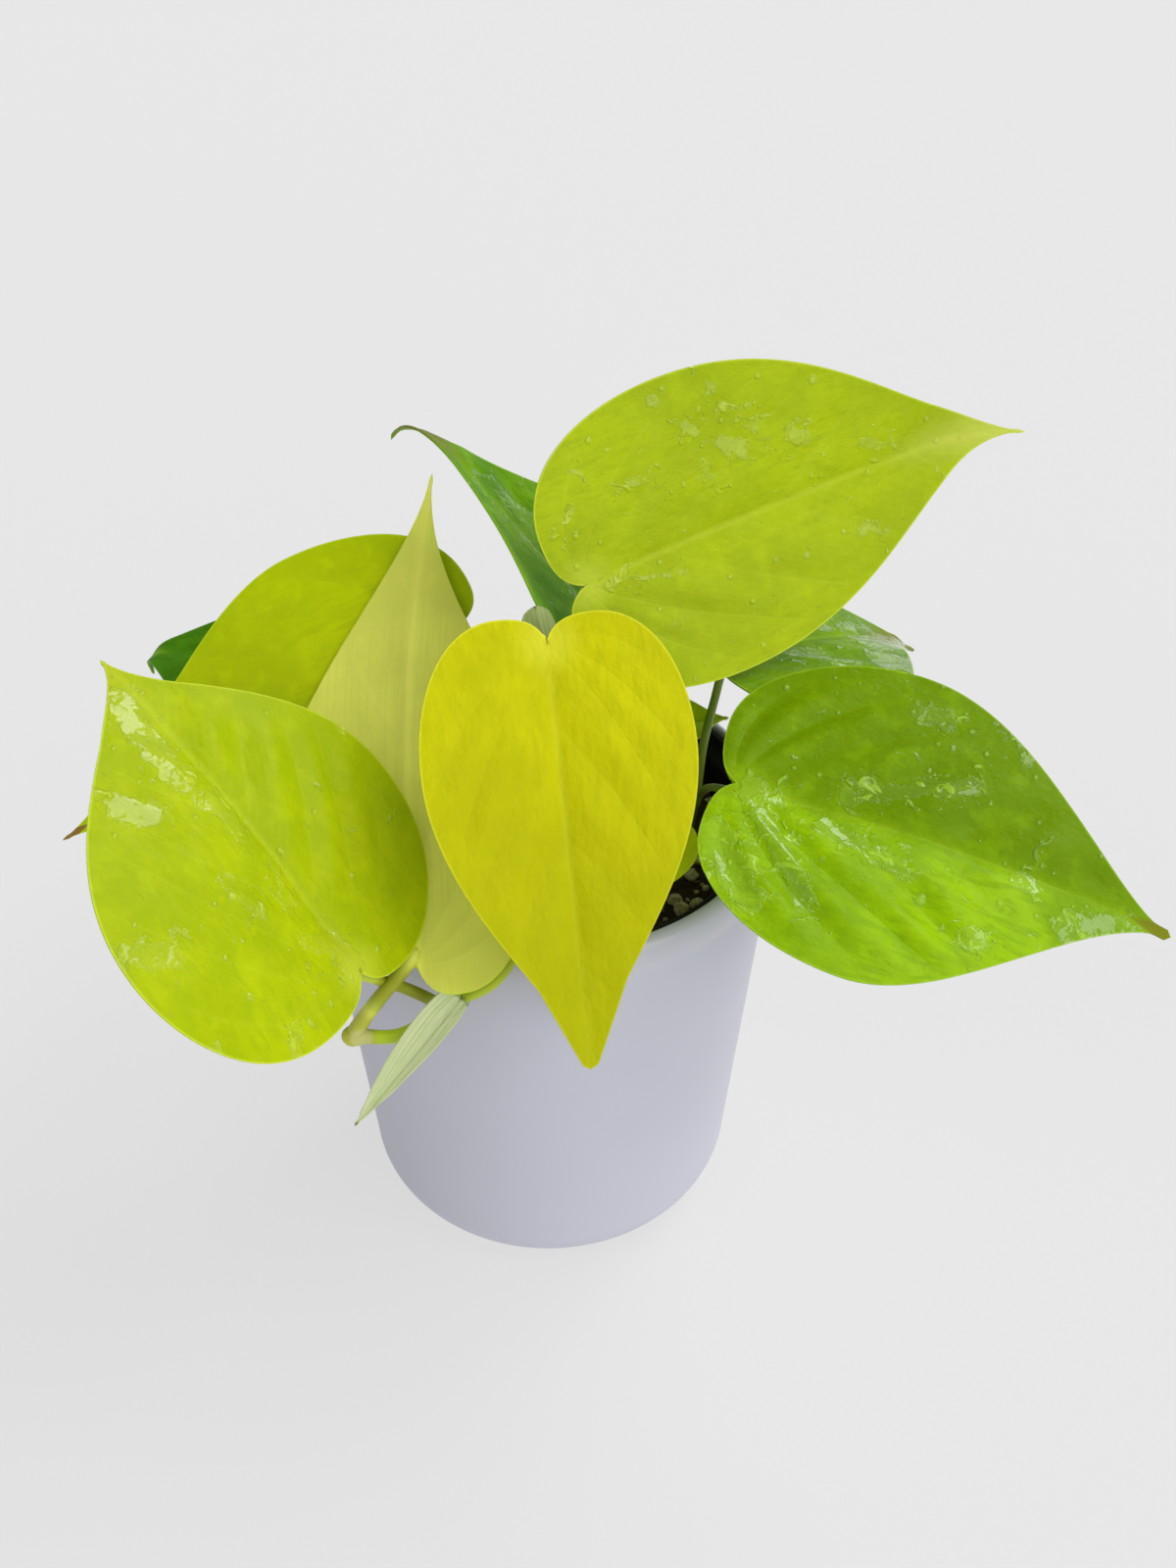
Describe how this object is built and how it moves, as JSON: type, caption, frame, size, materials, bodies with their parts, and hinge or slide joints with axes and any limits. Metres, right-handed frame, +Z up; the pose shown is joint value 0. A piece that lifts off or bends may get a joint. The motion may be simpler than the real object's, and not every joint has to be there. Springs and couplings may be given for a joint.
{
  "type": "potted lemon lime philodendron",
  "caption": "Young trailing aroid with heart-shaped lime leaves, in a black nursery pot that stands in a glossy white round cover pot.",
  "frame": {"origin": "middle of the cover pot's flat foot, on the surface that it stands on", "axes": "+Z up, +X to the right and +Y to the back, seen from the side that the reference view shows"},
  "size_m": [0.2511, 0.1563, 0.224],
  "materials": {
    "pot_glaze": "glossy white glaze",
    "nursery_plastic": "satin black moulded plastic",
    "potting_mix": "rough dark potting mix with perlite",
    "stem_lime": "waxy yellow-green stem",
    "stem_dark": "waxy dark green stem",
    "leaf_lime": "satin lime leaf with fine veins",
    "leaf_underside": "matte pale underside of a lime leaf",
    "leaf_green": "glossy green leaf with water drops",
    "sheath": "pale papery sheath"
  },
  "bodies": {
    "root": {"cover_pot": "pot_glaze", "nursery_pot": "nursery_plastic", "soil": "potting_mix", "front_vine": "stem_lime", "centre_vine": "stem_lime", "right_vine": "stem_dark", "back_vine": "stem_lime", "far_vine": "stem_dark", "leaf_upper_right": "leaf_lime", "leaf_centre": "leaf_lime", "leaf_left": "leaf_lime", "leaf_left_back": "leaf_lime", "leaf_pale_upright": "leaf_underside", "leaf_upper_back": "leaf_green", "leaf_right_back": "leaf_green", "leaf_right": "leaf_green", "leaf_far_left": "leaf_green", "leaf_small_right": "leaf_lime", "leaf_small_back": "leaf_green", "front_sheath": "sheath", "centre_sheath": "sheath"}
  },
  "joints": []
}
